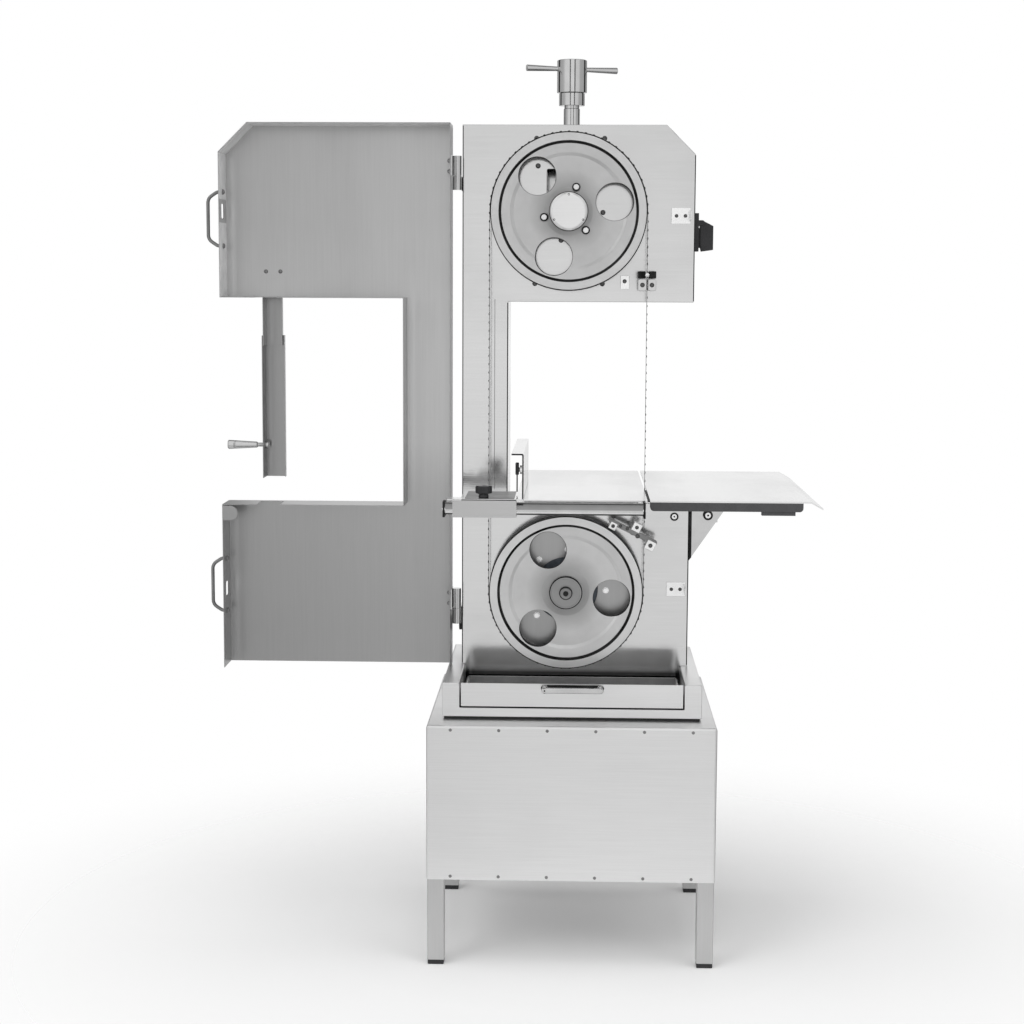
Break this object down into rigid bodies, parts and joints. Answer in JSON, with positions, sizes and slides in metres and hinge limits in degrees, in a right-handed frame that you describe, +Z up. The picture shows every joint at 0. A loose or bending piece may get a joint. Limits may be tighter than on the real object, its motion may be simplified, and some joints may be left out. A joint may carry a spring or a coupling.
{
  "type": "bone saw",
  "caption": "Upright butcher's bone band saw on a square-leg stand, with open left door, two wheels, sliding table, fence, dust drawer and T-handle.",
  "frame": {"origin": "centre of the stand's footprint on the floor", "axes": "+X to the operator's right, +Y away from the operator, +Z up"},
  "size_m": [1.161, 0.6094, 1.707],
  "materials": {
    "stand_steel": "satin",
    "screw_steel": "satin",
    "plinth_steel": "satin",
    "panel_steel": "brushed",
    "door_steel": "brushed",
    "bright_steel": "polished",
    "wheel_metal": "turned",
    "blade_steel": "ground",
    "table_steel": "polished",
    "motor_paint": "satin",
    "black_plastic": "matt",
    "bar_plastic": "matt",
    "green_button": "gloss",
    "red_button": "gloss"
  },
  "bodies": {
    "frame": {"legs": "stand_steel", "stand_top": "stand_steel", "aprons": "stand_steel", "apron_screws": "screw_steel", "plinth_cheeks": "plinth_steel", "plinth_base": "plinth_steel", "plinth_deck": "plinth_steel", "panel_upper": "panel_steel", "panel_column": "panel_steel", "panel_lower": "panel_steel", "shell_upper": "panel_steel", "shell_column": "panel_steel", "shell_lower": "panel_steel", "rear_covers": "panel_steel", "cover_screws": "screw_steel", "motor": "motor_paint", "motor_screws": "screw_steel", "cable_gland": "black_plastic", "tension_tower": "bright_steel", "carriage_rails": "panel_steel", "column_hinges": "bright_steel", "latch_plates": "bright_steel", "interlock_sensor": "bright_steel", "upper_guide": "bright_steel", "lower_scraper": "bright_steel", "panel_screws": "screw_steel", "table_bracket": "bright_steel", "guide_rod": "bright_steel", "fixed_table": "table_steel", "front_rail": "bright_steel", "saw_blade": "blade_steel", "switch_box": "black_plastic"},
    "door": {"door_upper": "door_steel", "door_strip": "door_steel", "door_lower": "door_steel", "door_hinges": "bright_steel", "door_handles": "bright_steel", "door_nuts": "screw_steel", "interlock_tongue": "door_steel", "guard_bracket": "door_steel"},
    "guard": {"guard_channel": "door_steel"},
    "guard_clamp": {"guard_handle": "bright_steel"},
    "drawer": {"drawer": "plinth_steel", "drawer_handle": "bright_steel"},
    "sliding_table": {"sliding_table": "table_steel", "table_front_bar": "bar_plastic", "bearing_blocks": "bright_steel"},
    "fence": {"fence": "table_steel", "fence_carriage": "bright_steel"},
    "fence_knob": {"fence_knob": "black_plastic"},
    "fence_lever": {"fence_lever": "black_plastic"},
    "tension_handle": {"tension_handle": "bright_steel"},
    "carriage": {"wheel_carriage": "bright_steel"},
    "upper_wheel": {"upper_wheel": "wheel_metal", "upper_hub": "wheel_metal"},
    "lower_wheel": {"lower_wheel": "wheel_metal", "motor_shaft": "bright_steel"},
    "start_button": {"start_button": "green_button"},
    "stop_button": {"stop_button": "red_button"},
    "switch_flap": {"switch_flap": "black_plastic"}
  },
  "joints": [
    {"name": "door_hinge", "type": "hinge", "parent": "frame", "child": "door", "pos_m": [-0.226, -0.038, 1], "axis": [0, 0, 1], "range_deg": [0, 180]},
    {"name": "guard_slide", "type": "slide", "parent": "door", "child": "guard", "axis": [0, 0, 1], "range_m": [0, 0.15]},
    {"name": "guard_clamp_turn", "type": "hinge", "parent": "guard", "child": "guard_clamp", "pos_m": [-0.62, 0.03, 0.957], "axis": [1, 0, 0], "range_deg": [-180, 180]},
    {"name": "drawer_slide", "type": "slide", "parent": "frame", "child": "drawer", "axis": [0, -1, 0], "range_m": [0, 0.17]},
    {"name": "table_slide", "type": "slide", "parent": "frame", "child": "sliding_table", "axis": [0, 1, 0], "range_m": [0, 0.14]},
    {"name": "fence_slide", "type": "slide", "parent": "frame", "child": "fence", "axis": [1, 0, 0], "range_m": [0, 0.2]},
    {"name": "fence_knob_turn", "type": "hinge", "parent": "fence", "child": "fence_knob", "pos_m": [-0.163, -0.271, 0.9], "axis": [0, 0, 1], "range_deg": [-180, 180]},
    {"name": "fence_lever_turn", "type": "hinge", "parent": "fence", "child": "fence_lever", "pos_m": [-0.099, -0.2, 0.933], "axis": [1, 0, 0], "range_deg": [-90, 90]},
    {"name": "tension_turn", "type": "hinge", "parent": "frame", "child": "tension_handle", "pos_m": [-0.0095, 0.06, 1.66], "axis": [0, 0, 1], "range_deg": [-1440, 0]},
    {"name": "carriage_slide", "type": "slide", "parent": "frame", "child": "carriage", "axis": [0, 0, 1], "range_m": [-0.01, 0]},
    {"name": "upper_wheel_spin", "type": "hinge", "parent": "carriage", "child": "upper_wheel", "pos_m": [-0.0135, -0.038, 1.411], "axis": [0, 1, 0], "continuous": true},
    {"name": "lower_wheel_spin", "type": "hinge", "parent": "frame", "child": "lower_wheel", "pos_m": [-0.0135, -0.038, 0.68], "axis": [0, 1, 0], "continuous": true},
    {"name": "start_press", "type": "slide", "parent": "frame", "child": "start_button", "axis": [-1, 0, 0], "range_m": [0, 0.003], "stiffness_N_per_m": 300},
    {"name": "stop_press", "type": "slide", "parent": "frame", "child": "stop_button", "axis": [-1, 0, 0], "range_m": [0, 0.003], "stiffness_N_per_m": 300},
    {"name": "flap_lift", "type": "hinge", "parent": "frame", "child": "switch_flap", "pos_m": [0.2435, 0.035, 1.3925], "axis": [0, -1, 0], "range_deg": [0, 90]}
  ],
  "couplings": [
    {"joint": "carriage_slide", "follows": "tension_turn", "m_per_rad": 0.00039789},
    {"joint": "upper_wheel_spin", "follows": "lower_wheel_spin", "ratio": 1}
  ]
}
